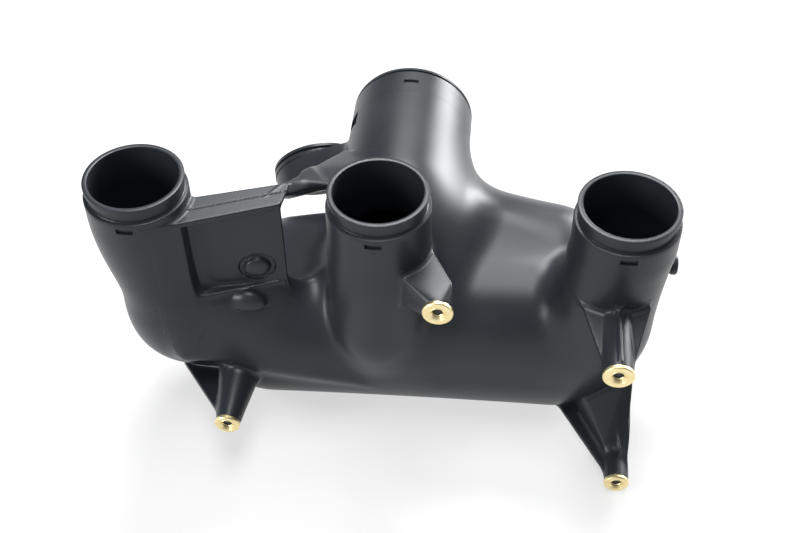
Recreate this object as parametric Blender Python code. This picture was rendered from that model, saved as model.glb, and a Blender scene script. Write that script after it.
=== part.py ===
"""Intake manifold for one bank of a flat six: a hollow moulded plenum with three runner tubes,
a throttle neck, a resonance neck, a stiffening web and four posts with brass inserts.

Frame: +Z is the way the runner mouths face, +Y the way the necks face, +X runs along the row of
runners. The origin lies on the flat underside of the plenum, in line with the middle runner.
Lengths are written in millimetres and turned into metres where the vertices are made.
"""
from math import cos, exp, pi, sin, sqrt

import bmesh
import bpy
from mathutils import Vector

MM = 0.001
GAP = 0.3            # clearance between pieces that meet
WALL = 3.0           # moulded wall thickness
SIDES = 28           # facets around a tube

# Runner row: cylinder spacing of the engine, and the height and plane of the mouths.
PITCH = 118.0
ROW_Y = -34.0
MOUTH_Z = 160.0
RUNNER_R = 25.5
BORE_R = 21.85
ELBOW_R = {"left": 42.0, "middle": 30.0, "right": 42.0}
ELBOW_Z = 41.5       # height of every runner axis where it enters the plenum
LEAN_Z = 86.0        # height where a runner's axis is furthest from the vertical
LEAN = {"left": (5.2, 26.0), "middle": (0.0, 26.0), "right": (-3.4, 40.0)}  # how far, over what height
LEAN_BELOW = 16.0
STRAIGHT_END = 139.0
SWELL = {"left": -1.3, "middle": 1.0, "right": -0.6}  # change of radius from the stub end down
INWARD = Vector((0.8, 0.6, 0.0))

# Stub end of a runner or neck: (distance behind the mouth, radius less than the tube's)
LIP = 2.2
BAND_END = 8.2
LIP_STEP = 1.0
BAND_STEP = 1.9

# Plenum: a box with big roundings, its top rising to the right.
PLENUM_X = (-98.0, 128.0)
PLENUM_Y = (-51.0, 52.0)
PLENUM_ROUND = 38.0
TOP_CURVE = (90.3, 0.17, -0.0009)  # height of the top along x, as a polynomial
PARTING_Y = 4.0      # plane where the two plenum shells meet

# Throttle neck: straight back from the plenum's top, with an elbow down into it.
NECK_X = 5.5
NECK_Z = 100.0
NECK_Y = 97.6
NECK_R = 34.3
NECK_ELBOW_R = 36.0

# Resonance neck: a branch on the throttle neck's left flank, facing back, left and up.
# Its underside keeps above a plane, so that the gap beside the web stays open.
RESONANCE_MOUTH = Vector((-49.8, 83.2, 69.9))
RESONANCE_AXIS = Vector((-0.243, 0.908, 0.342)).normalized()
RESONANCE_R = 26.5
BRANCH_END = Vector((2.0, 48.0, 97.0))
BRANCH_R = 24.0
RELIEF_POINT = Vector((-40.0, 20.0, 106.4))
RELIEF_NORMAL = Vector((-0.295, 0.617, 0.729)).normalized()

# Posts: name, centre of the brass face, radius of the boss, length of the boss.
POSTS = {
    "low_left": (Vector((-76.3, -86.0, 36.0)), 6.5, 40.0),
    "low_right": (Vector((128.4, -86.0, 8.2)), 6.5, 50.0),
    "side": (Vector((31.4, -72.5, 118.3)), 7.5, 36.0),
    "front": (Vector((117.2, -94.0, 106.6)), 7.5, 38.0),
}
FIN_THICK = 2.6
FIN_ROOTS = {
    "low_left": (Vector((-98.0, -30.0, 36.0)), Vector((-64.0, -30.0, 36.0))),
    "low_right": (Vector((95.0, -30.0, 8.2)), Vector((134.0, -36.0, 8.2))),
    "front": (Vector((99.2, -50.0, 108.0)), Vector((134.0, -52.0, 110.0))),
}
BUTTRESS_ROOTS = {
    "low_left": (Vector((-86.0, -40.0, 38.0)), Vector((-66.0, -40.0, 52.0))),
    "low_right": (Vector((104.0, -34.0, 10.0)), Vector((124.0, -34.0, 36.0))),
}
INSERT_DEPTH = 12.0
INSERT_BORE_R = 2.6
FLANGE_THICK = 2.0

# Vacuum nipple on the plenum's right end
NIPPLE_TIP = Vector((154.6, 6.0, 82.0))
NIPPLE_R = 5.2

NYLON = ("black_nylon", (0.022, 0.023, 0.025), 0.42, 0.0)
BRASS = ("brass", (0.83, 0.62, 0.26), 0.28, 1.0)


def clear_scene():
    for old in list(bpy.data.objects):
        bpy.data.objects.remove(old, do_unlink=True)


def material(spec):
    name, colour, roughness, metallic = spec
    found = bpy.data.materials.get(name)
    if found:
        return found
    made = bpy.data.materials.new(name)
    made.use_nodes = True
    shader = made.node_tree.nodes["Principled BSDF"]
    shader.inputs["Base Color"].default_value = (*colour, 1.0)
    shader.inputs["Roughness"].default_value = roughness
    shader.inputs["Metallic"].default_value = metallic
    return made


def new_object(name, bm):
    mesh = bpy.data.meshes.new(name)
    bmesh.ops.recalc_face_normals(bm, faces=bm.faces[:])
    bm.to_mesh(mesh)
    bm.free()
    made = bpy.data.objects.new(name, mesh)
    bpy.context.scene.collection.objects.link(made)
    return made


def loft(name, rings):
    """A closed solid through rings of equal vertex count, capped at both ends."""
    bm = bmesh.new()
    loops = [[bm.verts.new(point * MM) for point in ring] for ring in rings]
    for near, far in zip(loops, loops[1:]):
        for i, vert in enumerate(near):
            j = (i + 1) % len(near)
            bm.faces.new((vert, near[j], far[j], far[i]))
    bm.faces.new(loops[0])
    bm.faces.new(loops[-1])
    return new_object(name, bm)


def tube(name, stations, sides=SIDES):
    """A solid swept through (centre, radius) stations, with its rings kept from twisting."""
    centres = [centre for centre, _ in stations]
    tangents = []
    for i in range(len(centres)):
        before = centres[max(i - 1, 0)]
        after = centres[min(i + 1, len(centres) - 1)]
        tangents.append((after - before).normalized())
    across = tangents[0].orthogonal().normalized()
    rings = []
    for (centre, radius), tangent in zip(stations, tangents):
        across = (across - tangent * across.dot(tangent)).normalized()
        up = tangent.cross(across)
        angles = [2 * pi * k / sides for k in range(sides)]
        rings.append([centre + (across * cos(a) + up * sin(a)) * radius for a in angles])
    return loft(name, rings)


def elbow(start, way_in, way_out, bend_radius, steps=7):
    """Points along a quarter turn that leaves start along way_in and ends along way_out."""
    points = []
    for k in range(steps + 1):
        angle = pi / 2 * k / steps
        points.append(start + (way_in * sin(angle) + way_out * (1 - cos(angle))) * bend_radius)
    return points


def smooth_step(t):
    t = min(max(t, 0.0), 1.0)
    return t * t * (3 - 2 * t)


def runner_station(which, point):
    """Axis point and radius of a runner at the height of point, with its lean and swell."""
    far, above = LEAN[which]
    width = above if point.z > LEAN_Z else LEAN_BELOW
    shift = far * exp(-(((point.z - LEAN_Z) / width) ** 2)) * smooth_step((STRAIGHT_END - point.z) / 12.0)
    radius = RUNNER_R + SWELL[which] * smooth_step((STRAIGHT_END - point.z) / 35.0)
    return point + Vector((shift, 0.0, 0.0)), radius


def runner_stations(which):
    """Stations of a runner from under its stub end to inside the plenum, and its final direction."""
    x = {"left": -PITCH, "middle": 0.0, "right": PITCH}[which]
    turn = {
        "left": INWARD,
        "middle": Vector((0.0, 1.0, 0.0)),
        "right": Vector((-INWARD.x, INWARD.y, 0.0)),
    }[which]
    bend = ELBOW_R[which]
    heights = [h for h in (STRAIGHT_END, 128.0, 117.0, 106.0, 95.0) if h > ELBOW_Z + bend + 5.0]
    points = [Vector((x, ROW_Y, h)) for h in heights]
    start = Vector((x, ROW_Y, ELBOW_Z + bend))
    points += elbow(start, Vector((0.0, 0.0, -1.0)), turn, bend)
    points.append(points[-1] + turn * 24.0)
    return [runner_station(which, point) for point in points], turn


def stub_end(mouth, inward, radius, lip_step=LIP_STEP):
    """Stations of a stub end: lip, recessed band for the sleeve, shoulder."""
    profile = (
        (0.0, radius - lip_step),
        (LIP, radius - lip_step),
        (LIP + 0.4, radius - BAND_STEP),
        (BAND_END, radius - BAND_STEP),
        (BAND_END + 0.4, radius),
    )
    return [(mouth + inward * depth, r) for depth, r in profile]


def runner_solids(which):
    """A runner's outside, its outside grown by the clearance, and its bore."""
    stations, turn = runner_stations(which)
    mouth = Vector((stations[0][0].x, ROW_Y, MOUTH_Z))
    down = Vector((0.0, 0.0, -1.0))
    outer = stub_end(mouth, down, RUNNER_R) + stations
    grown = [(mouth - down, RUNNER_R + GAP)] + [(point, radius + GAP) for point, radius in stations]
    bore = [(mouth - down * 4.0, BORE_R), (stations[0][0], BORE_R)]
    bore += [(point, radius - WALL) for point, radius in stations[1:]]
    bore.append((stations[-1][0] + turn * 12.0, bore[-1][1]))
    return (tube(which + "_outer", outer), tube(which + "_grown", grown), tube(which + "_bore", bore))


def plenum_top(x):
    base, slope, curve = TOP_CURVE
    return base + slope * x + curve * x * x


def plenum_solid(name, inset):
    """The plenum's outline, made smaller by inset; a negative inset makes it larger."""
    rounding = PLENUM_ROUND - inset
    low_x, high_x = PLENUM_X[0] + inset, PLENUM_X[1] - inset
    low_y, high_y = PLENUM_Y[0] + inset, PLENUM_Y[1] - inset
    rings = []
    ends = [rounding * (1 - cos(pi / 2 * k / 5)) for k in range(1, 6)]
    places = [low_x + e for e in ends] + [high_x - e for e in reversed(ends)]
    for x in places:
        edge = min(x - low_x, high_x - x, rounding)
        pull = rounding - sqrt(max(rounding ** 2 - (rounding - edge) ** 2, 0.0))
        top = plenum_top(x) - inset - pull
        bottom = inset + pull
        corner = max(min(rounding - pull, (top - bottom) / 2 - 0.5), 2.0)
        ring = []
        for cy, cz, first in (
            (high_y - pull - corner, top - corner, 0.0),
            (low_y + pull + corner, top - corner, pi / 2),
            (low_y + pull + corner, bottom + corner, pi),
            (high_y - pull - corner, bottom + corner, 3 * pi / 2),
        ):
            for k in range(7):
                angle = first + pi / 2 * k / 6
                ring.append(Vector((x, cy + corner * cos(angle), cz + corner * sin(angle))))
        rings.append(ring)
    return loft(name, rings)


def throttle_solids():
    mouth = Vector((NECK_X, NECK_Y, NECK_Z))
    bend_start = Vector((NECK_X, 20.0, NECK_Z))
    forward = Vector((0.0, -1.0, 0.0))
    down = Vector((0.0, 0.0, -1.0))
    arc = elbow(bend_start, forward, down, NECK_ELBOW_R)
    last = arc[-1] + down * 22.0
    outer = stub_end(mouth, forward, NECK_R, 0.0) + [(p, NECK_R) for p in arc + [last]]
    grown = [(mouth - forward, NECK_R + GAP)] + [(p, NECK_R + GAP) for p in arc + [last]]
    bore = [(mouth - forward * 4.0, NECK_R - WALL)]
    bore += [(p, NECK_R - WALL) for p in arc + [last + down * 8.0]]
    return tube("throttle_outer", outer), tube("throttle_grown", grown), tube("throttle_bore", bore)


def below_plane(name, point, normal):
    """A large block whose top face lies in the plane through point."""
    size = 400.0
    turn = normal.to_track_quat("Z", "Y").to_matrix()
    corners = [Vector((x, y, 0.0)) * size for x, y in ((-1, -1), (1, -1), (1, 1), (-1, 1))]
    return prism(name, [point + turn @ corner for corner in corners], size, -normal)


def ring(centre, axis, radius, sides=SIDES):
    """Points of a circle around an axis."""
    across = axis.orthogonal().normalized()
    up = axis.cross(across)
    angles = [2 * pi * k / sides for k in range(sides)]
    return [centre + (across * cos(a) + up * sin(a)) * radius for a in angles]


def resonance_solids():
    """The resonance neck's outside, its outside grown by the clearance, and its bore."""
    inward = -RESONANCE_AXIS
    stub = stub_end(RESONANCE_MOUTH, inward, RESONANCE_R)
    shoulder = stub[-1][0]
    bulkhead = shoulder + inward * WALL
    aim = (BRANCH_END - shoulder).normalized()
    skins = []
    for name, inset, start in (("body", 0.0, shoulder + inward), ("bore", WALL, shoulder - inward * 0.5)):
        near = ring(start, RESONANCE_AXIS, RESONANCE_R - inset - 0.2)
        skin = hull("resonance_" + name, near + ring(BRANCH_END, aim, BRANCH_R - inset))
        floor = below_plane("relief_" + name, RELIEF_POINT + RELIEF_NORMAL * inset, RELIEF_NORMAL)
        skins.append(combine(skin, [floor], "DIFFERENCE"))
    outer, bore = skins
    combine(outer, [tube("resonance_stub", stub + [(bulkhead, RESONANCE_R)])], "UNION")
    mouth = [(RESONANCE_MOUTH - inward * 4.0, RESONANCE_R - WALL - 0.6), (shoulder, RESONANCE_R - WALL - 0.6)]
    combine(bore, [tube("resonance_mouth", mouth)], "UNION")
    grown = tube("resonance_grown", [
        (RESONANCE_MOUTH - inward, RESONANCE_R + GAP),
        (bulkhead, RESONANCE_R + GAP),
    ])
    return outer, grown, bore


def hull(name, points):
    bm = bmesh.new()
    for point in points:
        bm.verts.new(point * MM)
    made = bmesh.ops.convex_hull(bm, input=bm.verts[:])
    bmesh.ops.delete(bm, geom=made["geom_interior"], context="VERTS")
    return new_object(name, bm)


def circle(centre, radius, sides=18):
    """Points of a circle that faces along Y."""
    angles = [2 * pi * k / sides for k in range(sides)]
    return [centre + Vector((cos(a), 0.0, sin(a))) * radius for a in angles]


def prism(name, corners, thickness, way):
    """A flat plate: corners in order, thickened along way."""
    return loft(name, [corners, [corner + way * thickness for corner in corners]])


def boss(name, post, grow=0.0):
    """The round column behind a brass insert."""
    face, radius, length = POSTS[post]
    front = face + Vector((0.0, FLANGE_THICK + GAP, 0.0))
    back = face + Vector((0.0, length, 0.0))
    return loft(name, [circle(front, radius - 0.4 + grow), circle(back, radius + 0.6 + grow)])


def fin(name, post, grow=0.0):
    """The flat gusset on both sides of a boss, level with its axis and widest at its root."""
    face, radius, _ = POSTS[post]
    root_left, root_right = FIN_ROOTS[post]
    tip_y = face.y + FLANGE_THICK + 3.0
    corners = [
        Vector((face.x - radius + 0.6 - grow, tip_y, face.z)),
        Vector((face.x + radius - 0.6 + grow, tip_y, face.z)),
        root_right + Vector((grow, grow, 0.0)),
        root_left + Vector((-grow, grow, 0.0)),
    ]
    half = Vector((0.0, 0.0, FIN_THICK / 2 + grow))
    return hull(name, [c - half for c in corners] + [c + half for c in corners])


def buttress(post, grow=0.0):
    """The wedge that carries a low boss up into the body."""
    face, radius, length = POSTS[post]
    low, high = BUTTRESS_ROOTS[post]
    root = [Vector((x, low.y, z)) for x in (low.x - grow, high.x + grow) for z in (low.z, high.z + grow)]
    front = circle(face + Vector((0.0, length - 18.0 - grow, 0.0)), radius + grow - 0.3)
    return hull(post + "_buttress", front + root)


def combine(target, others, operation):
    """Apply one Boolean after another to target and use the others up."""
    for other in others:
        cut = target.modifiers.new("cut", "BOOLEAN")
        cut.operation = operation
        cut.solver = "EXACT"
        cut.object = other
        evaluated = target.evaluated_get(bpy.context.evaluated_depsgraph_get())
        result = bpy.data.meshes.new_from_object(evaluated)
        target.modifiers.clear()
        target.data = result
    return target


def copy_of(source, name):
    made = bpy.data.objects.new(name, source.data.copy())
    bpy.context.scene.collection.objects.link(made)
    return made


def keep_largest_body(target):
    """Drop the offcuts that a Boolean leaves beside the piece."""
    bm = bmesh.new()
    bm.from_mesh(target.data)
    bmesh.ops.remove_doubles(bm, verts=bm.verts[:], dist=0.00002)
    bodies = []
    unseen = set(bm.verts)
    while unseen:
        start = unseen.pop()
        body = {start}
        stack = [start]
        while stack:
            for edge in stack.pop().link_edges:
                for vert in edge.verts:
                    if vert in unseen:
                        unseen.discard(vert)
                        body.add(vert)
                        stack.append(vert)
        bodies.append(body)
    largest = max(bodies, key=len)
    offcuts = [vert for vert in bm.verts if vert not in largest]
    bmesh.ops.delete(bm, geom=offcuts, context="VERTS")
    bmesh.ops.dissolve_limit(bm, angle_limit=0.002, verts=bm.verts[:], edges=bm.edges[:])
    bmesh.ops.triangulate(bm, faces=bm.faces[:])
    bm.to_mesh(target.data)
    bm.free()
    return target


def finish(target, name, spec):
    target.name = name
    target.data.materials.clear()
    target.data.materials.append(material(spec))
    target.data.shade_smooth()
    target.data.set_sharp_from_angle(angle=0.6)
    return target


def box(name, low, high):
    low, high = Vector(low), Vector(high)
    corners = [
        Vector((low.x, low.y, low.z)),
        Vector((high.x, low.y, low.z)),
        Vector((high.x, high.y, low.z)),
        Vector((low.x, high.y, low.z)),
    ]
    return prism(name, corners, high.z - low.z, Vector((0.0, 0.0, 1.0)))


def insert_pocket(post):
    face, _, _ = POSTS[post]
    start = face - Vector((0.0, 1.0, 0.0))
    end = face + Vector((0.0, FLANGE_THICK + INSERT_DEPTH + GAP, 0.0))
    return loft("pocket_" + post, [circle(start, 5.0 + GAP, 20), circle(end, 5.0 + GAP, 20)])


def brass_insert(post):
    """A flanged threaded insert: a disc, a barrel and the screw hole through both."""
    face, radius, _ = POSTS[post]
    flange_r = radius
    outer = [
        (0.0, flange_r - 0.4),
        (0.4, flange_r),
        (FLANGE_THICK, flange_r),
        (FLANGE_THICK + 0.01, 5.0),
        (FLANGE_THICK + INSERT_DEPTH, 5.0),
    ]
    rings = [circle(face + Vector((0.0, depth, 0.0)), r, 24) for depth, r in outer]
    body = loft("insert_" + post, rings)
    bore = [(-1.0, 3.5), (0.0, 3.2), (0.8, INSERT_BORE_R), (FLANGE_THICK + INSERT_DEPTH + 1.0, INSERT_BORE_R)]
    hole = loft("hole", [circle(face + Vector((0.0, d, 0.0)), r, 16) for d, r in bore])
    combine(body, [hole], "DIFFERENCE")
    return finish(keep_largest_body(body), post + "_insert", BRASS)


def web_solids():
    """The shelf that ties the left runner to the middle one, and the upright plate below it."""
    down = Vector((0.0, 0.0, -1.0))
    shelf_z = MOUTH_Z - 13.5
    front = [Vector((-108.0, -54.0, shelf_z)), Vector((-48.5, -33.0, shelf_z))]
    rear = [Vector((-50.0, -17.5, shelf_z)), Vector((-100.0, -34.0, shelf_z))]
    shelf = prism("shelf", front + rear, WALL, down)
    strip = hull("strip", [
        Vector((-56.0, -26.0, shelf_z)), Vector((-54.0, -19.0, shelf_z)),
        Vector((-56.0, -26.0, shelf_z - WALL)), Vector((-54.0, -19.0, shelf_z - WALL)),
        Vector((-30.0, -13.0, shelf_z - 8.0)), Vector((-36.0, 4.0, shelf_z - 12.0)),
        Vector((-30.0, -13.0, shelf_z - 12.0)), Vector((-36.0, 4.0, shelf_z - 16.0)),
        Vector((-12.0, -18.0, shelf_z - 9.0)), Vector((-8.0, 20.0, shelf_z - 30.0)),
        Vector((-12.0, -18.0, shelf_z - 13.0)), Vector((-8.0, 20.0, shelf_z - 36.0)),
    ])
    along = (front[1] - front[0]).normalized()
    back = Vector((-along.y, along.x, 0.0))
    top_left = Vector((-106.0, -52.5, shelf_z)) + back
    top_right = front[1] + back * 0.8
    foot = Vector((0.0, 0.0, -90.0))
    plate = prism("plate", [top_left, top_right, top_right + foot, top_left + foot], WALL, back)
    return [shelf, strip, plate]


def side_post():
    """Wedge that carries the side insert off the middle runner."""
    face, radius, _ = POSTS["side"]
    tip = circle(face + Vector((0.0, FLANGE_THICK + GAP, 0.0)), radius - 0.4)
    root = []
    for z in (MOUTH_Z - 34.0, MOUTH_Z - 52.0):
        root += [Vector((12.0, ROW_Y - 20.5, z)), Vector((24.6, ROW_Y, z)), Vector((5.0, ROW_Y, z))]
    knee = Vector((face.x + radius - 0.6, face.y + 15.0, MOUTH_Z - 34.0))
    return hull("side_post", tip + root + [knee])


def nipple_solids():
    """The vacuum nipple, running into the plenum's end, and the passage through it."""
    root = NIPPLE_TIP - Vector((44.0, 0.0, 0.0))
    past = NIPPLE_TIP + Vector((1.0, 0.0, 0.0))
    outer = tube("nipple", [(root, NIPPLE_R), (NIPPLE_TIP, NIPPLE_R)], 20)
    return outer, tube("passage", [(root, 3.0), (past, 3.0)], 14)


def clearance(post):
    """A low post's shapes, grown so that the runner beside it stays clear."""
    return [boss(post + "_clear", post, GAP), fin(post + "_fin_clear", post, GAP), buttress(post, GAP)]


def main():
    clear_scene()
    runners = {which: runner_solids(which) for which in ("left", "middle", "right")}
    throttle_outer, throttle_grown, throttle_bore = throttle_solids()
    resonance_outer, resonance_grown, resonance_bore = resonance_solids()
    plenum_grown = plenum_solid("plenum_grown", -GAP)
    pockets = {post: insert_pocket(post) for post in POSTS}

    # Plenum: outer skin with the two low posts, parted into two shells, each cleared inside.
    plenum = plenum_solid("plenum", 0.0)
    for post in ("low_left", "low_right"):
        combine(plenum, [boss(post + "_boss", post), fin(post + "_fin", post), buttress(post)], "UNION")
    cavity = plenum_solid("cavity", WALL)
    nipple, passage = nipple_solids()
    cuts = [cavity, throttle_bore, passage] + [solids[2] for solids in runners.values()]
    cuts += [pockets["low_left"], pockets["low_right"]]
    far = 400.0
    rear = copy_of(plenum, "rear")
    combine(plenum, [box("behind", (-far, PARTING_Y - GAP / 2, -far), (far, far, far))], "DIFFERENCE")
    combine(rear, [box("ahead", (-far, -far, -far), (far, PARTING_Y + GAP / 2, far))], "DIFFERENCE")
    for shell, name in ((plenum, "plenum_front_shell"), (rear, "plenum_rear_shell")):
        combine(shell, cuts, "DIFFERENCE")
        finish(keep_largest_body(shell), name, NYLON)

    # Necks.
    cuts = [throttle_bore, resonance_bore, plenum_grown, runners["middle"][1]]
    combine(throttle_outer, cuts, "DIFFERENCE")
    finish(keep_largest_body(throttle_outer), "throttle_neck", NYLON)
    combine(resonance_outer, [resonance_bore, throttle_grown, plenum_grown], "DIFFERENCE")
    finish(keep_largest_body(resonance_outer), "resonance_neck", NYLON)

    # Runner tubes, two of them with a post.
    combine(runners["middle"][0], [side_post()], "UNION")
    combine(runners["right"][0], [boss("front_boss", "front"), fin("front_fin", "front")], "UNION")
    for which, (outer, _, bore) in runners.items():
        cuts = [bore, plenum_grown]
        if which == "left":
            cuts += clearance("low_left")
        if which == "middle":
            cuts += [pockets["side"]]
        if which == "right":
            cuts += clearance("low_right") + [pockets["front"]]
        combine(outer, cuts, "DIFFERENCE")
        finish(keep_largest_body(outer), which + "_runner", NYLON)

    # Web bracket.
    web, strip, plate = web_solids()
    combine(web, [strip, plate], "UNION")
    combine(web, [
        runners["left"][1], runners["middle"][1], throttle_grown, resonance_grown, plenum_grown,
    ], "DIFFERENCE")
    finish(keep_largest_body(web), "web_bracket", NYLON)

    for post in POSTS:
        brass_insert(post)

    combine(nipple, [passage, plenum_grown], "DIFFERENCE")
    finish(keep_largest_body(nipple), "vacuum_nipple", NYLON)

    kept = {
        "plenum_front_shell", "plenum_rear_shell", "throttle_neck", "resonance_neck",
        "left_runner", "middle_runner", "right_runner", "web_bracket", "vacuum_nipple",
    } | {post + "_insert" for post in POSTS}
    for made in list(bpy.data.objects):
        if made.name not in kept:
            bpy.data.objects.remove(made, do_unlink=True)


main()
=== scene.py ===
"""Looks for the intake manifold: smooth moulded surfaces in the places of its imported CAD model.

The black moulding is described by signed distances (negative inside, in millimetres), blended
where walls run into each other, and meshed once. Stub ends, posts, web, inserts and the nipple
are separate pieces with crisper edges. Frame: +Z runner mouths, +Y necks, +X along the row.
"""
from math import cos, pi, radians, sin

import bmesh
import bpy
import numpy as np
from mathutils import Matrix, Vector


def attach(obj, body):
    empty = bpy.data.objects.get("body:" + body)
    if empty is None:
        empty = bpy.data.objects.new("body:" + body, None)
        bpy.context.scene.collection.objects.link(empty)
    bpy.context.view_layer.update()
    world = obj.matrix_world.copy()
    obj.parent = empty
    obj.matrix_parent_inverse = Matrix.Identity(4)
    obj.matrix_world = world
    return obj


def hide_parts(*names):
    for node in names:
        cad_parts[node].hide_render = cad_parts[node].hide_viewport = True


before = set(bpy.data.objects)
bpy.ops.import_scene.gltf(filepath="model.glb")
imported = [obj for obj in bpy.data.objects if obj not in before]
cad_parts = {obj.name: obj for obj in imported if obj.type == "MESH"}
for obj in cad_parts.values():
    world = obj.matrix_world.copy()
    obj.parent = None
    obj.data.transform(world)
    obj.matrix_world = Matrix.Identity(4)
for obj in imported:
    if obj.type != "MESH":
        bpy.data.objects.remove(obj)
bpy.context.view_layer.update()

MM = 0.001


def unit(vector):
    vector = np.array(vector, float)
    return vector / np.linalg.norm(vector)


# Places and sizes in millimetres, as in the CAD model except where a comment says otherwise
PITCH = 118.0
ROW_Y = -34.0
MOUTH_Z = 160.0
RUNNER_R = 25.5
BORE_R = 21.85
NECK_X, NECK_Z, NECK_Y, NECK_R = 5.5, 100.0, 97.6, 34.3
NECK_BORE_R = 31.3
NECK_BEND_Y = 20.0   # where the wide neck starts to turn down
NECK_ELBOW_R = 36.0
RESONANCE_MOUTH = np.array((-49.8, 83.2, 69.9))
RESONANCE_AXIS = unit((-0.243, 0.908, 0.342))
RESONANCE_R = 26.5
RELIEF_POINT = np.array((-40.0, 20.0, 106.4))
RELIEF_NORMAL = unit((-0.295, 0.617, 0.729))
PLENUM_X, PLENUM_Y, PLENUM_ROUND = (-98.0, 128.0), (-51.0, 52.0), 38.0
PLENUM_TOP = 88.0    # only here: height of the box that is stretched to the sloping top
TOP_CURVE = (90.3, 0.17, -0.0009)  # height of the top along x, as a polynomial
NIPPLE_TIP, NIPPLE_R = (154.6, 6.0, 82.0), 5.2
WALL = 3.0
LEAN_Z = 86.0        # height where a runner's axis is furthest from the vertical
LEAN_BELOW = 44.0    # 16 in the CAD model
# How far each runner leans, over what height above LEAN_Z. The CAD's left one has 5.2 over 26.
LEAN = {"left": (6.5, 24.0), "middle": (0.0, 26.0), "right": (-3.4, 40.0)}
STRAIGHT_END = 139.0
SWELL = {"left": -1.3, "middle": 1.0, "right": -0.6}  # change of radius from the stub end down

# Where each runner starts to bend, the bend's radius and the way it turns. The CAD's left bend
# starts at a height of 83.5 and its middle one at 71.5.
RUNNERS = {
    "left": ((-PITCH, ROW_Y, 80.0), 42.0, (0.8, 0.6)),
    "middle": ((0.0, ROW_Y, 76.0), 30.0, (0.0, 1.0)),
    "right": ((PITCH, ROW_Y, 83.5), 42.0, (-0.8, 0.6)),
}

# How this finer model is put together
RUN_ON = 6.0         # straight length of a runner after its bend, inside the plenum
COLLAR = 21.0        # length of a separately made stub end
RESONANCE_COLLAR = 6.0
RESONANCE_TUCK = 5.0  # where the branch ends below its mouth
TUCK = 5.0           # how far the moulding runs up inside a stub end
SKIN = 0.08          # how far a rooted piece stands proud of the moulding it grows from
OVERLAP = 1.4        # how far a rooted piece reaches under the moulding's skin
FLANGE = 2.1         # a post's nylon ends this far behind the face of its insert
NOTCH_LOW, NOTCH_HIGH, NOTCH_DEPTH = -14.0, -11.2, 1.3  # small notch in a stub end, from the lip
RUNNER_NOTCH, NECK_NOTCH = radians(8.6), radians(6.3)   # half its angle
NECK_CUT = 36.0      # the moulding stops below the wide neck's stub end this far to each side

# Web between the left and middle runner
WEB_TOP = 146.5
WEB_LEFT, WEB_RIGHT = np.array((-105.7, -55.2)), np.array((-48.1, -33.0))  # ends of its front edge
LEDGE_Z = 94.0       # top of the thick part under the recess
RECESS_LEFT = np.array((-92.5, -43.0))  # deepest corner of the recess in front of the plate
BUTTON = (-62.5, 105.0, 6.4)  # x, z and radius

# Posts: centre of the brass face and radius of the boss, as in the CAD model
POSTS = {
    "low_left": ((-76.3, -86.0, 36.0), 6.5),
    "low_right": ((128.4, -86.0, 8.2), 6.5),
    "side": ((31.4, -72.5, 118.3), 7.5),
    "front": ((117.2, -94.0, 106.6), 7.5),
}


# ---------------------------------------------------------------- signed distances


def smooth_min(a, b, k):
    """Union with a fillet of about k."""
    h = np.maximum(k - np.abs(a - b), 0.0) / k
    return np.minimum(a, b) - h * h * k * 0.25


def smooth_max(a, b, k):
    """Intersection with a rounding of about k."""
    return -smooth_min(-a, -b, k)


def rounded_box(x, y, z, low, high, rounding):
    """A box from low to high with rounded edges."""
    centre = [(a + b) / 2 for a, b in zip(low, high)]
    half = [(b - a) / 2 - rounding for a, b in zip(low, high)]
    qx, qy, qz = (np.abs(v - c) - h for v, c, h in zip((x, y, z), centre, half))
    outside = np.sqrt(np.maximum(qx, 0) ** 2 + np.maximum(qy, 0) ** 2 + np.maximum(qz, 0) ** 2)
    inside = np.minimum(np.maximum(np.maximum(qx, qy), qz), 0)
    return outside + inside - rounding


def plane(x, y, z, point, normal):
    """Positive on the side the normal points to."""
    return (x - point[0]) * normal[0] + (y - point[1]) * normal[1] + (z - point[2]) * normal[2]


def cone(x, y, z, start, end, r_start, r_end):
    """A round-ended tapered rod."""
    start, end = np.array(start, float), np.array(end, float)
    along = end - start
    t = (x - start[0]) * along[0] + (y - start[1]) * along[1] + (z - start[2]) * along[2]
    t = np.clip(t / along.dot(along), 0.0, 1.0)
    dx, dy, dz = (v - s - a * t for v, s, a in zip((x, y, z), start, along))
    return np.sqrt(dx * dx + dy * dy + dz * dz) - (r_start + (r_end - r_start) * t)


def bent_tube(x, y, z, foot, bend, turn, radius):
    """A tube that comes down to foot, turns through a quarter circle towards turn, and runs on."""
    u = (x - foot[0]) * turn[0] + (y - foot[1]) * turn[1]
    v = -(x - foot[0]) * turn[1] + (y - foot[1]) * turn[0]
    w = z - foot[2]
    arc = np.sqrt((u - bend) ** 2 + w * w) - bend
    off = np.where(w >= 0, u, np.where(u <= bend, arc, w + bend))
    past = np.where(w >= 0, 0.0, np.maximum(u - bend - RUN_ON, 0.0))
    return np.sqrt(off * off + v * v + past * past) - radius


def hull_planes(points):
    """Unique outward planes of a convex hull, as (normal, offset)."""
    bm = bmesh.new()
    for point in points:
        bm.verts.new(point)
    made = bmesh.ops.convex_hull(bm, input=bm.verts[:])
    bmesh.ops.delete(bm, geom=made["geom_interior"], context="VERTS")
    bmesh.ops.recalc_face_normals(bm, faces=bm.faces[:])
    planes = []
    for face in bm.faces:
        normal = np.array(face.normal)
        offset = float(normal.dot(face.verts[0].co))
        if not any(abs(offset - o) < 0.05 and normal.dot(n) > 0.9995 for n, o in planes):
            planes.append((normal, offset))
    bm.free()
    return planes


def hull_field(x, y, z, points, rounding):
    """A convex block with softened edges."""
    found = None
    for normal, offset in hull_planes(points):
        side = x * normal[0] + y * normal[1] + z * normal[2] - offset
        found = side if found is None else smooth_max(found, side, rounding)
    return found


def smooth_step(t):
    t = np.clip(t, 0.0, 1.0)
    return t * t * (3.0 - 2.0 * t)


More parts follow.
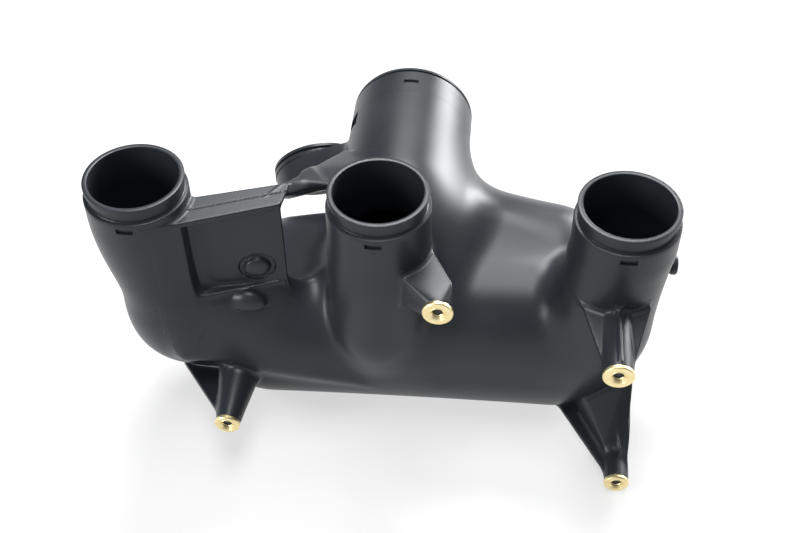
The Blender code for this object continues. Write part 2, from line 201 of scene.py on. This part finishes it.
def runner(x, y, z, which, radius):
    """A runner, which leans and swells a little below its straight stub end."""
    foot, bend, turn = RUNNERS[which]
    far, above = LEAN[which]
    width = np.where(z > LEAN_Z, above, LEAN_BELOW)
    shift = far * np.exp(-(((z - LEAN_Z) / width) ** 2)) * smooth_step((STRAIGHT_END - z) / 12.0)
    swell = SWELL[which] * smooth_step((STRAIGHT_END - z) / 35.0)
    return bent_tube(x - shift, y, z, foot, bend, turn, radius + swell)


def plenum(x, y, z, inset):
    """A rounded box under a gently sloping top."""
    base, slope, curve = TOP_CURVE
    scaled = z * PLENUM_TOP / (base + slope * x + curve * x * x)
    low = (PLENUM_X[0] + inset, PLENUM_Y[0] + inset, inset)
    high = (PLENUM_X[1] - inset, PLENUM_Y[1] - inset, PLENUM_TOP - inset)
    return rounded_box(x, y, scaled, low, high, PLENUM_ROUND - inset)


def throttle(x, y, z, radius):
    """The wide neck: level at the back, turning down into the plenum at the front."""
    back = y - NECK_BEND_Y
    low = z - (NECK_Z - NECK_ELBOW_R)
    arc = np.sqrt(back * back + low * low) - NECK_ELBOW_R
    off = np.where(back >= 0, z - NECK_Z, np.where(low >= 0, arc, -NECK_ELBOW_R - back))
    past = np.where(back >= 0, 0.0, np.maximum(-low - 4.0, 0.0))
    return np.sqrt(off * off + (x - NECK_X) ** 2 + past * past) - radius


def resonance(x, y, z, inset):
    """The small neck: a branch off the wide one whose underside stays above the relief plane."""
    past = RESONANCE_MOUTH + RESONANCE_AXIS * 6.0
    root = RESONANCE_MOUTH - RESONANCE_AXIS * RESONANCE_TUCK
    tube = cone(x, y, z, past, root - RESONANCE_AXIS * 30.0, RESONANCE_R - 0.6 - inset, 25.0 - inset)
    branch = cone(x, y, z, root, (0.0, 46.0, 90.0), 23.0 - inset, 21.0 - inset)
    relief = plane(x, y, z, RELIEF_POINT + RELIEF_NORMAL * inset, RELIEF_NORMAL)
    return smooth_max(smooth_min(tube, branch, 6.0), -relief, 6.0)


def shoulder(x, y, z):
    """The soft slope from the wide neck's right flank down to the plenum's rear edge."""
    points = [
        (20, 70, 96), (20, 70, 70), (40, 66, 84), (40, 66, 70), (98, 36, 84), (98, 30, 60),
        (98, -10, 70), (20, -10, 70), (20, 0, 112), (44, 42, 108), (66, 30, 103), (98, 12, 96),
    ]
    return hull_field(x, y, z, points, 18.0)


def fan(x, y, z):
    """The swelling below the web's recess, from the left runner onto the plenum's front."""
    return hull_field(x, y, z, [
        (-104, -53.8, LEDGE_Z), (-47, -33.6, LEDGE_Z), (-47, -24, LEDGE_Z), (-104, -36, LEDGE_Z),
        (-108, -58, 50), (-20, -52, 38), (-20, -24, 62), (-104, -36, 48),
    ], 7.0)


def moulding_outside(x, y, z):
    """Everything moulded in one, from outside."""
    body = plenum(x, y, z, 0.0)
    body = smooth_min(body, throttle(x, y, z, NECK_R), 16.0)
    body = smooth_min(body, shoulder(x, y, z), 24.0)
    left = smooth_min(fan(x, y, z), runner(x, y, z, "left", RUNNER_R), 8.0)
    body = smooth_min(body, left, 12.0)
    body = smooth_min(body, runner(x, y, z, "middle", RUNNER_R), 4.0)
    body = smooth_min(body, runner(x, y, z, "right", RUNNER_R), 15.0)
    return smooth_min(body, resonance(x, y, z, 0.0), 5.0)


def moulding_inside(x, y, z):
    """The cavity, with the wide neck's bore kept out of the middle runner."""
    body = plenum(x, y, z, WALL)
    crossing = runner(x, y, z, "middle", RUNNER_R)
    body = smooth_min(body, smooth_max(throttle(x, y, z, NECK_BORE_R), -crossing, 1.0), 8.0)
    for which in RUNNERS:
        body = smooth_min(body, runner(x, y, z, which, BORE_R + 0.05), 8.0)
    return smooth_min(body, resonance(x, y, z, WALL), 4.0)


def moulding(x, y, z):
    """The hollow moulding, cut open inside each stub end."""
    outside = moulding_outside(x, y, z)
    wall = np.maximum(outside, -np.maximum(moulding_inside(x, y, z), outside + WALL - 0.2))
    wall = smooth_max(wall, -z, 1.0)
    cut = np.maximum(wall, z - (MOUTH_Z - COLLAR + TUCK))
    cut = np.maximum(cut, y - np.where(np.abs(x - NECK_X) < NECK_CUT, NECK_Y - COLLAR + TUCK, 400.0))
    tip = RESONANCE_MOUTH - RESONANCE_AXIS * RESONANCE_TUCK
    return np.maximum(cut, np.where(x < -24.0, plane(x, y, z, tip, RESONANCE_AXIS), -400.0))


def rooted(own, x, y, z, fillet, reach):
    """A piece that grows out of the moulding: filleted onto it, and ending just under its skin."""
    outside = moulding_outside(x, y, z)
    joined = smooth_min(own, outside, fillet) - SKIN
    return np.maximum(np.maximum(joined, -(outside + OVERLAP)), own - reach)


def level_hull(x, y, z, outline, high, low, rounding):
    """A block over an outline of (x, y), from low to high."""
    return hull_field(x, y, z, [(a, b, c) for a, b in outline for c in (low, high)], rounding)


def shelf(x, y, z):
    """Flat top of the web, with a fine crease parallel to its front edge."""
    outline = [(-108, -56), WEB_RIGHT, (-46, -17), (-60, -21.5), (-96, -33)]
    top = level_hull(x, y, z, outline, WEB_TOP, WEB_TOP - 3, 0.8)
    along = (WEB_RIGHT - WEB_LEFT) / np.linalg.norm(WEB_RIGHT - WEB_LEFT)
    from_edge = (x - WEB_LEFT[0]) * -along[1] + (y - WEB_LEFT[1]) * along[0]
    crease = np.sqrt((from_edge - 8.5) ** 2 + (z - WEB_TOP) ** 2) - 0.45
    return smooth_max(top, -crease, 0.3)


def plate(x, y, z):
    """Upright plate under the shelf, set back behind a recess that gets deeper to the left."""
    along = (WEB_RIGHT - RECESS_LEFT) / np.linalg.norm(WEB_RIGHT - RECESS_LEFT)
    back = np.array((-along[1], along[0]))
    outline = [RECESS_LEFT - along * 6, WEB_RIGHT, WEB_RIGHT + back * 3, RECESS_LEFT - along * 6 + back * 3]
    sheet = level_hull(x, y, z, outline, WEB_TOP - 1, 50.0, 0.8)
    depth = (x - WEB_RIGHT[0]) * back[0] + (y - WEB_RIGHT[1]) * back[1]
    across = np.sqrt((x - BUTTON[0]) ** 2 + (z - BUTTON[1]) ** 2)
    groove = np.maximum(np.abs(across - BUTTON[2] - 1.4) - 1.3, np.abs(depth) - 0.9)
    dome = np.sqrt((across * 0.42) ** 2 + (depth + 0.2) ** 2 + 0.01) - 2.6
    sheet = smooth_max(sheet, -groove, 0.8)
    return smooth_min(sheet, smooth_max(dome, across - BUTTON[2], 0.5), 0.3)


def thick_corner(x, y, z):
    """Solid corner that closes the recess beside the left runner."""
    outline = [WEB_LEFT, (-93.2, -50.4), (-93.2, -42), (-106, -44)]
    return level_hull(x, y, z, outline, WEB_TOP - 1, 60.0, 1.6)


def ledge(x, y, z):
    """Crisp edge below the recess, with the half dome under it."""
    outline = [(-103, -54.2), (-49, -33.8), (-49, -29), (-103, -40)]
    edge = level_hull(x, y, z, outline, LEDGE_Z, LEDGE_Z - 5, 1.0)
    dome_x, dome_y, dome_z = (x + 68.0) / 9.5, (y + 43.0) / 5.6, (z - 84.6) / 9.0
    dome = np.sqrt(dome_x ** 2 + dome_y ** 2 + dome_z ** 2) * 7.0 - 7.0
    return smooth_min(edge, smooth_max(dome, 84.8 - z, 0.5), 0.8)


def web(x, y, z):
    """Shelf from the left runner, plate under its front edge, strip on to the wide neck."""
    strip = hull_field(x, y, z, [
        (-56, -28, 146.4), (-47, -15, 146.0), (-48, -24, 143), (-56, -28, 142.5), (-48, -13, 141),
        (-31, -9, 140.0), (-39, 3, 137.6), (-31, -8, 136.5), (-38, 3, 133),
    ], 1.5)
    flank = hull_field(x, y, z, [
        (-36, -9, 140.0), (-42, 1, 138.4), (-33, 23, 128.5), (-27, 42, 119.5), (-10, -11, 138),
        (-4, 20, 130), (-36, -8, 136.5), (-41, 2, 133.5), (-32, 23, 124), (-26, 42, 115), (-8, 20, 118),
    ], 1.5)
    own = smooth_min(shelf(x, y, z), smooth_min(strip, flank, 7.0), 1.5)
    own = smooth_min(own, smooth_min(plate(x, y, z), thick_corner(x, y, z), 1.0), 0.6)
    return np.minimum(rooted(own, x, y, z, 3.0, 5.0), rooted(ledge(x, y, z), x, y, z, 2.0, 5.0))


def boss(x, y, z, post, length, swell=0.5):
    """The round column behind an insert: flat in front, widening slightly to its root."""
    (cx, cy, cz), radius = POSTS[post]
    depth = y - (cy + FLANGE)
    column = np.sqrt((x - cx) ** 2 + (z - cz) ** 2) - (radius - 0.35 + swell * depth / length)
    return smooth_max(smooth_max(column, -depth, 0.6), depth - length, 2.0)


def fin(x, y, z, corners, thick):
    """A flat gusset through corners."""
    a, b, c = (np.array(corner, float) for corner in corners[:3])
    normal = np.cross(b - a, c - a)
    normal *= thick / 2 / np.linalg.norm(normal)
    points = [tuple(np.array(corner) + side * normal) for corner in corners for side in (-1, 1)]
    return hull_field(x, y, z, points, 0.8)


def low_left_post(x, y, z):
    """A flaring column with a gusset on each side."""
    own = boss(x, y, z, "low_left", 40.0, 6.0)
    left = fin(x, y, z, [(-81.6, -80, 36), (-78, -80, 36), (-80, -34, 27), (-112, -36, 23)], 2.4)
    right = fin(x, y, z, [(-74, -80, 36), (-70.6, -80, 36), (-74, -34, 3), (-82, -34, 6)], 2.4)
    own = smooth_min(smooth_min(own, left, 2.0), right, 2.0)
    return rooted(own, x, y, z, 3.0, 4.5)


def low_right_post(x, y, z):
    """A column against a broad wedge, with a gusset on each side."""
    own = boss(x, y, z, "low_right", 34.0)
    left = fin(x, y, z, [(123, -80, 8), (127, -80, 8), (124, -30, 12), (95, -34, 11)], 2.4)
    right = fin(x, y, z, [(131, -80, 8), (133.8, -80, 8), (135, -36, 34), (128, -36, 34)], 2.4)
    wedge = hull_field(x, y, z, [
        (123, -68, 13), (133.4, -68, 13), (104, -38, 38), (134.6, -37, 52), (123, -68, 6), (133.4, -68, 6),
        (104, -34, 16), (128, -30, 34),
    ], 0.8)
    own = smooth_min(smooth_min(smooth_min(own, left, 2.0), right, 2.0), wedge, 3.0)
    return rooted(own, x, y, z, 3.0, 4.5)


def side_post(x, y, z):
    """A wedge with a level top, tapering to the insert."""
    (cx, cy, cz), radius = POSTS["side"]
    reach = radius - 0.4
    turns = np.linspace(0, 2 * pi, 25)
    tip = [(cx + reach * cos(a), cy + FLANGE, cz + reach * sin(a)) for a in turns]
    wedge = hull_field(x, y, z, tip + [
        (11.5, -55.5, 126), (24.5, -34.5, 126), (37.6, -58.5, 126),
        (10.8, -57, 107), (24.5, -34.5, 107), (37.4, -60, 112),
    ], 0.8)
    return rooted(wedge, x, y, z, 2.5, 4.0)


def front_post(x, y, z):
    """A column between two level wings, with a low rib along its top."""
    own = boss(x, y, z, "front", 36.0)
    outline = [(110.4, -88, 106.4), (124.0, -88, 106.4), (133.4, -54.3, 112), (99.2, -51.3, 112)]
    wings = fin(x, y, z, outline, 2.4)
    rib = fin(x, y, z, [(117.2, -90, 114.2), (117.2, -90, 106), (117.2, -54, 106), (117.2, -54, 116.4)], 1.6)
    own = smooth_min(smooth_min(own, wings, 1.2), rib, 0.8)
    return rooted(own, x, y, z, 3.0, 4.5)


# ---------------------------------------------------------------- meshing


def net(field, low, high, cell):
    """Surface net of a signed distance: (points, quads), one point for each cell it crosses."""
    counts = [int((b - a) / cell) + 2 for a, b in zip(low, high)]
    axes = [a + cell * np.arange(n, dtype=np.float32) for a, n in zip(low, counts)]
    grid = [axes[0][:, None, None], axes[1][None, :, None], axes[2][None, None, :]]
    value = np.broadcast_to(field(*grid), counts).astype(np.float32)
    inside = value < 0
    total = np.zeros([n - 1 for n in counts], np.int8)
    for i in (0, 1):
        for j in (0, 1):
            for k in (0, 1):
                total += inside[i:counts[0] - 1 + i, j:counts[1] - 1 + j, k:counts[2] - 1 + k]
    cells = np.argwhere((total > 0) & (total < 8))
    number = -np.ones(total.shape, np.int64)
    number[tuple(cells.T)] = np.arange(len(cells))
    summed = np.zeros((len(cells), 3))
    hits = np.zeros(len(cells))
    for axis in range(3):
        step = np.eye(3, dtype=int)[axis]
        others = [a for a in range(3) if a != axis]
        for i in (0, 1):
            for j in (0, 1):
                corner = np.zeros(3, int)
                corner[others[0]], corner[others[1]] = i, j
                start = cells + corner
                a = value[tuple(start.T)]
                b = value[tuple((start + step).T)]
                crossed = (a < 0) != (b < 0)
                share = a[crossed] / (a[crossed] - b[crossed])
                summed[crossed] += corner + step * share[:, None]
                hits[crossed] += 1
    points = (cells + summed / hits[:, None]) * cell + np.array(low)
    quads = []
    for axis in range(3):
        step = np.eye(3, dtype=int)[axis]
        first, second = np.eye(3, dtype=int)[(axis + 1) % 3], np.eye(3, dtype=int)[(axis + 2) % 3]
        trimmed = tuple(slice(0, n - 1) if a == axis else slice(1, n - 1) for a, n in enumerate(counts))
        shifted = tuple(slice(1, n) if a == axis else slice(1, n - 1) for a, n in enumerate(counts))
        crossing = inside[trimmed] != inside[shifted]
        found = np.argwhere(crossing) + (1 - step)
        ring = [found - first - second, found - second, found, found - first]
        corners = np.stack([number[tuple(r.T)] for r in ring], 1)
        outward = inside[tuple(found.T)]
        corners[~outward] = corners[~outward][:, ::-1]
        quads.append(corners)
    return points, np.vstack(quads)


def gradient(field, points, reach):
    """Unit normals of the field at points, and its slopes."""
    found = np.zeros_like(points)
    for axis in range(3):
        offset = np.zeros(3)
        offset[axis] = reach
        ahead, behind = points + offset, points - offset
        found[:, axis] = field(*ahead.T) - field(*behind.T)
    length = np.linalg.norm(found, axis=1, keepdims=True)
    return found / np.maximum(length, 1e-9), length[:, 0] / (2 * reach)


def settle(field, points, quads, cell, rounds):
    """Even out the net's points and pull them back onto the surface."""
    edges = np.vstack([quads[:, [a, (a + 1) % 4]] for a in range(4)])
    for _ in range(rounds):
        mean = np.zeros_like(points)
        for axis in range(3):
            mean[:, axis] = np.bincount(edges[:, 0], points[edges[:, 1], axis], len(points))
            mean[:, axis] += np.bincount(edges[:, 1], points[edges[:, 0], axis], len(points))
        count = np.bincount(edges.ravel(), minlength=len(points))
        points = points * 0.5 + mean / count[:, None] * 0.5
        normal, slope = gradient(field, points, cell * 0.2)
        shift = field(*points.T) / np.maximum(slope, 0.4)
        points = points - normal * np.clip(shift, -cell * 0.6, cell * 0.6)[:, None]
    return points


def mesh_object(name, points, faces, normals=None):
    """A smooth-shaded object from points in millimetres."""
    mesh = bpy.data.meshes.new(name)
    mesh.from_pydata((np.asarray(points) * MM).tolist(), [], [list(map(int, f)) for f in faces])
    mesh.update()
    made = bpy.data.objects.new(name, mesh)
    bpy.context.scene.collection.objects.link(made)
    mesh.shade_smooth()
    if normals is not None:
        mesh.normals_split_custom_set_from_vertices(normals.tolist())
    return made


def field_object(name, field, low, high, cell, rounds=3):
    """The surface of a signed distance as an object, shaded with the field's own normals."""
    points, quads = net(field, low, high, cell)
    points = settle(field, points, quads, cell, rounds)
    normals, _ = gradient(field, points, cell * 0.25)
    return mesh_object(name, points, quads, normals=normals)


# ---------------------------------------------------------------- turned pieces


def frame_of(axis):
    """Two unit vectors square to axis; the first is the zero of every angle around it."""
    axis = np.array(axis, float)
    helper = np.array((0.0, -1.0, 0.0)) if abs(axis[1]) < 0.7 else np.array((0.0, 0.0, 1.0))
    first = helper - axis * helper.dot(axis)
    first /= np.linalg.norm(first)
    return first, np.cross(axis, first)


def turned(name, origin, axis, profile, sides, notch=None):
    """A closed ring from a closed profile of (height along axis, radius), with an optional notch.

    The notch is (half angle, low height, high height, depth) at angle zero on the outer surface.
    """
    origin, axis = np.array(origin, float), np.array(axis, float)
    first, second = frame_of(axis)
    angles = [2 * pi * k / sides for k in range(sides)]
    if notch:
        half, low, high, depth = notch
        angles = [a for a in angles if min(a, 2 * pi - a) > half + 0.04]
        edge = 0.012
        angles += [half, half + edge, half * 0.33, 2 * pi - half, 2 * pi - half - edge, 2 * pi - half * 0.33]
        angles.sort()
    points = []
    for height, radius, outer in profile:
        for a in angles:
            r = radius
            if notch and outer and min(a, 2 * pi - a) <= half + 1e-6 and low - 1e-6 <= height <= high + 1e-6:
                r -= depth
            points.append(origin + axis * height + (first * cos(a) + second * sin(a)) * r)
    n = len(angles)
    rows = len(profile)
    faces = []
    for i in range(rows):
        j = (i + 1) % rows
        for a in range(n):
            b = (a + 1) % n
            faces.append((i * n + a, i * n + b, j * n + b, j * n + a))
    made = mesh_object(name, points, faces)
    bm = bmesh.new()
    bm.from_mesh(made.data)
    bmesh.ops.recalc_face_normals(bm, faces=bm.faces[:])
    bm.to_mesh(made.data)
    bm.free()
    made.data.shade_smooth()
    made.data.set_sharp_from_angle(angle=0.5)
    return made


def collar_profile(radius, bore, lip_step=1.0, band_step=1.9, length=COLLAR):
    """Stub end from its foot, up the outside, over the lip and down the bore. Heights are from the lip."""
    lip = radius - lip_step
    band = radius - band_step
    outside = [
        (-length, radius + 0.04),
        (-14.2, radius + 0.04), (-14.0, radius + 0.04),
        (-11.2, radius + 0.04), (-11.0, radius + 0.04),
        (-8.9, radius + 0.02), (-8.5, radius - 0.12), (-8.3, radius - 0.5),
        (-8.2, band + 0.3), (-7.9, band),
        (-2.7, band), (-2.5, band + 0.2),
        (-2.3, lip - 0.2), (-2.1, lip),
        (-0.5, lip), (-0.15, lip - 0.15), (0.0, lip - 0.5),
    ]
    inside = [(0.0, bore + 0.5), (-0.15, bore + 0.15), (-0.5, bore), (-length, bore)]
    return [(h, r, True) for h, r in outside] + [(h, r, False) for h, r in inside]


def grooved_profile(radius, bore, notch, length=COLLAR):
    """A plain stub end: full width at the lip, with one thin groove behind it."""
    outside = [(-length, radius + 0.04)]
    if notch:
        outside += [(h, radius + 0.02) for h in (-14.2, -14.0, -11.2, -11.0)]
    outside += [
        (-3.6, radius), (-3.4, radius - 0.2), (-3.3, radius - 1.5),
        (-2.2, radius - 1.5), (-2.1, radius - 0.2), (-1.9, radius),
        (-0.5, radius), (-0.15, radius - 0.15), (0.0, radius - 0.5),
    ]
    inside = [(0.0, bore + 0.5), (-0.15, bore + 0.15), (-0.5, bore), (-length, bore)]
    return [(h, r, True) for h, r in outside] + [(h, r, False) for h, r in inside]


# ---------------------------------------------------------------- materials


def node_material(name):
    """A new material, its nodes and links, and its shader."""
    made = bpy.data.materials.new(name)
    made.use_nodes = True
    nodes, links = made.node_tree.nodes, made.node_tree.links
    return made, nodes, links, nodes["Principled BSDF"]


def black_nylon():
    """Satin glass-filled nylon: fine moulded grain, with slightly cloudy colour and gloss."""
    made, nodes, links, shader = node_material("black_nylon")
    place = nodes.new("ShaderNodeTexCoord")
    cloud = nodes.new("ShaderNodeTexNoise")
    cloud.inputs["Scale"].default_value = 26.0
    cloud.inputs["Detail"].default_value = 5.0
    flow = nodes.new("ShaderNodeMapping")
    flow.inputs["Scale"].default_value = (1.0, 1.0, 0.35)
    links.new(place.outputs["Object"], flow.inputs["Vector"])
    links.new(flow.outputs["Vector"], cloud.inputs["Vector"])
    tint = nodes.new("ShaderNodeValToRGB")
    tint.color_ramp.elements[0].position = 0.35
    tint.color_ramp.elements[0].color = (0.011, 0.0130, 0.0165, 1)
    tint.color_ramp.elements[1].position = 0.7
    tint.color_ramp.elements[1].color = (0.017, 0.0200, 0.0240, 1)
    links.new(cloud.outputs["Fac"], tint.inputs["Fac"])
    links.new(tint.outputs["Color"], shader.inputs["Base Color"])
    gloss = nodes.new("ShaderNodeMapRange")
    gloss.inputs["To Min"].default_value = 0.30
    gloss.inputs["To Max"].default_value = 0.44
    links.new(cloud.outputs["Fac"], gloss.inputs["Value"])
    links.new(gloss.outputs["Result"], shader.inputs["Roughness"])
    shader.inputs["Specular IOR Level"].default_value = 0.32
    grain = nodes.new("ShaderNodeTexNoise")
    grain.inputs["Scale"].default_value = 1400.0
    grain.inputs["Detail"].default_value = 2.0
    links.new(place.outputs["Object"], grain.inputs["Vector"])
    bump = nodes.new("ShaderNodeBump")
    bump.inputs["Strength"].default_value = 0.08
    bump.inputs["Distance"].default_value = 0.0002
    links.new(grain.outputs["Fac"], bump.inputs["Height"])
    links.new(bump.outputs["Normal"], shader.inputs["Normal"])
    return made


def brass():
    """Bright turned brass with a fine, uneven surface."""
    made, nodes, links, shader = node_material("brass")
    shader.inputs["Metallic"].default_value = 1.0
    place = nodes.new("ShaderNodeTexCoord")
    noise = nodes.new("ShaderNodeTexNoise")
    noise.inputs["Scale"].default_value = 320.0
    noise.inputs["Detail"].default_value = 4.0
    links.new(place.outputs["Object"], noise.inputs["Vector"])
    tint = nodes.new("ShaderNodeValToRGB")
    tint.color_ramp.elements[0].color = (0.74, 0.58, 0.26, 1)
    tint.color_ramp.elements[1].color = (0.95, 0.84, 0.52, 1)
    links.new(noise.outputs["Fac"], tint.inputs["Fac"])
    links.new(tint.outputs["Color"], shader.inputs["Base Color"])
    gloss = nodes.new("ShaderNodeMapRange")
    gloss.inputs["To Min"].default_value = 0.25
    gloss.inputs["To Max"].default_value = 0.5
    links.new(noise.outputs["Fac"], gloss.inputs["Value"])
    links.new(gloss.outputs["Result"], shader.inputs["Roughness"])
    bump = nodes.new("ShaderNodeBump")
    bump.inputs["Strength"].default_value = 0.15
    bump.inputs["Distance"].default_value = 0.0001
    links.new(noise.outputs["Fac"], bump.inputs["Height"])
    links.new(bump.outputs["Normal"], shader.inputs["Normal"])
    return made


NYLON = black_nylon()
BRASS = brass()


def show(piece, look, slot, *replaced):
    """Give a piece its material, attach it to the root, and hide the CAD nodes it stands for. The slot
    argument is not used.
    """
    piece.data.materials.clear()
    piece.data.materials.append(look)
    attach(piece, "root")
    if replaced:
        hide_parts(*replaced)
    return piece


# ---------------------------------------------------------------- the object

coarse = 1.5
body = field_object("moulding", moulding, (-150, -64, -3), (150, 104, 152), coarse)
show(
    body, NYLON, "black_nylon", "plenum_front_shell", "plenum_rear_shell", "left_runner",
    "middle_runner", "right_runner", "throttle_neck", "resonance_neck",
)

for which, x in (("left", -PITCH), ("middle", 0.0), ("right", PITCH)):
    collar = turned(
        which + "_runner_mouth", (x, ROW_Y, MOUTH_Z), (0, 0, 1), collar_profile(RUNNER_R, BORE_R), 96,
        (RUNNER_NOTCH, NOTCH_LOW, NOTCH_HIGH, NOTCH_DEPTH),
    )
    show(collar, NYLON, "black_nylon")
throttle_mouth = turned(
    "throttle_mouth", (NECK_X, NECK_Y, NECK_Z), (0, 1, 0), grooved_profile(NECK_R, NECK_BORE_R, True), 120,
    (NECK_NOTCH, NOTCH_LOW, NOTCH_HIGH, NOTCH_DEPTH),
)
show(throttle_mouth, NYLON, "black_nylon")
resonance_mouth = turned(
    "resonance_mouth", RESONANCE_MOUTH, RESONANCE_AXIS,
    grooved_profile(RESONANCE_R, RESONANCE_R - 3.6, False, RESONANCE_COLLAR), 96,
)
show(resonance_mouth, NYLON, "black_nylon")

fine = 0.8
show(field_object("web", web, (-112, -62, 34), (0, 50, 151), fine), NYLON, "black_nylon", "web_bracket")
PIECES = (
    ("low_left_post", low_left_post, (-116, -86, -2), (-62, -26, 66)),
    ("low_right_post", low_right_post, (88, -86, -2), (142, -22, 62)),
    ("side_post", side_post, (2, -74, 98), (44, -26, 130)),
    ("front_post", front_post, (92, -94, 94), (140, -48, 126)),
)
for name, field, low, high in PIECES:
    show(field_object(name, field, low, high, fine), NYLON, "black_nylon")

SOCKET_R, THREAD_R, SHANK_R = 2.6, 3.0, 5.0
INSERT_END, SHANK_END = -13.0, -13.5


def insert_profile(radius):
    """Flanged insert from the ring mark on its face, round the shank and back up its grooved hole."""
    profile = [(0.0, 3.7), (0.0, 3.95), (-0.12, 4.05), (-0.12, 4.25), (0.0, 4.35)]
    profile += [(0.0, radius - 0.5), (-0.5, radius), (-1.9, radius), (-2.05, radius - 0.2)]
    profile += [(-2.05, SHANK_R), (SHANK_END, SHANK_R), (SHANK_END, SOCKET_R)]
    depth = INSERT_END
    while depth < -1.2:
        profile += [(depth, SOCKET_R), (depth + 0.5, THREAD_R)]
        depth += 1.0
    return profile + [(-0.8, 2.75)]


for node, (centre, radius) in POSTS.items():
    profile = [(h, r, False) for h, r in insert_profile(radius)]
    insert = turned(node + "_brass", centre, (0, -1, 0), profile, 48)
    show(insert, BRASS, "brass", node + "_insert")

nipple_profile = [
    (-40.0, NIPPLE_R), (-8.0, NIPPLE_R), (-7.6, 5.0), (-3.4, 5.0), (-3.0, 5.5), (-1.2, 5.5),
    (-0.4, NIPPLE_R), (0.0, 4.6), (0.0, 3.6), (-0.5, 3.1), (-40.0, 3.1),
]
nipple = turned("nipple", NIPPLE_TIP, (1, 0, 0), [(h, r, False) for h, r in nipple_profile], 40)
show(nipple, NYLON, "black_nylon", "vacuum_nipple")

# ---------------------------------------------------------------- stage, light and camera


def white_paper():
    """A plain pale floor that stays light in the part's shadow."""
    made, nodes, links, shader = node_material("white_paper")
    place = nodes.new("ShaderNodeTexCoord")
    noise = nodes.new("ShaderNodeTexNoise")
    noise.inputs["Scale"].default_value = 40.0
    links.new(place.outputs["Object"], noise.inputs["Vector"])
    tint = nodes.new("ShaderNodeValToRGB")
    tint.color_ramp.elements[0].color = (0.24, 0.24, 0.24, 1)
    tint.color_ramp.elements[1].color = (0.26, 0.26, 0.26, 1)
    links.new(noise.outputs["Fac"], tint.inputs["Fac"])
    links.new(tint.outputs["Color"], shader.inputs["Base Color"])
    shader.inputs["Roughness"].default_value = 0.9
    shader.inputs["Specular IOR Level"].default_value = 0.1
    shader.inputs["Emission Color"].default_value = (1, 1, 1, 1)
    shader.inputs["Emission Strength"].default_value = 0.6
    return made


FLOOR_HALF, FLOOR_Z = 4000.0, -0.2
floor_corners = [(a * FLOOR_HALF, b * FLOOR_HALF, FLOOR_Z) for a, b in ((-1, -1), (1, -1), (1, 1), (-1, 1))]
floor = mesh_object("floor", floor_corners, [(0, 1, 2, 3)])
floor.data.materials.append(white_paper())


def area_light(name, place, target, size, power):
    """A soft rectangular light that points at target."""
    light = bpy.data.lights.new(name, "AREA")
    light.shape = "RECTANGLE"
    light.size, light.size_y = size
    light.energy = power
    made = bpy.data.objects.new(name, light)
    bpy.context.scene.collection.objects.link(made)
    place, target = Vector(place), Vector(target)
    made.location = place
    made.rotation_euler = (target - place).to_track_quat("-Z", "Y").to_euler()
    return made


area_light("back", (0.0, 0.78, 1.26), (0, 0, 0.1), (0.7, 0.28), 22.0)
area_light("top", (0.0, -0.05, 1.4), (0, -0.05, 0.1), (0.45, 0.9), 17.0)
area_light("right_back", (0.75, 0.95, 0.42), (0, 0.05, 0.1), (0.6, 0.4), 17.0)
area_light("right_low", (1.05, 0.95, 0.24), (0, 0.05, 0.12), (0.6, 0.4), 7.0)
area_light("left_front", (-1.0, -0.7, 0.6), (0, 0, 0.08), (0.5, 0.5), 12.0)

world = bpy.data.worlds.new("studio")
world.use_nodes = True
world.node_tree.nodes["Background"].inputs["Color"].default_value = (0.93, 0.97, 1, 1)
world.node_tree.nodes["Background"].inputs["Strength"].default_value = 0.3
bpy.context.scene.world = world
bpy.context.scene.view_settings.view_transform = "Standard"

camera_data = bpy.data.cameras.new("camera")
camera_data.sensor_width = 36.0
camera_data.lens = 53.145
camera_data.clip_start = 0.05
camera = bpy.data.objects.new("camera", camera_data)
bpy.context.scene.collection.objects.link(camera)
PITCH_DOWN, YAW_LEFT, ROLL = radians(46.152), radians(5.728), radians(-0.587)
CAMERA_PLACE = Vector((0.051014, -0.442632, 0.536854))
tilt = Matrix.Rotation(pi / 2 - PITCH_DOWN, 3, "X") @ Matrix.Rotation(ROLL, 3, "Z")
turn = Matrix.Rotation(YAW_LEFT, 3, "Z") @ tilt
camera.matrix_world = Matrix.Translation(CAMERA_PLACE) @ turn.to_4x4()
bpy.context.scene.camera = camera
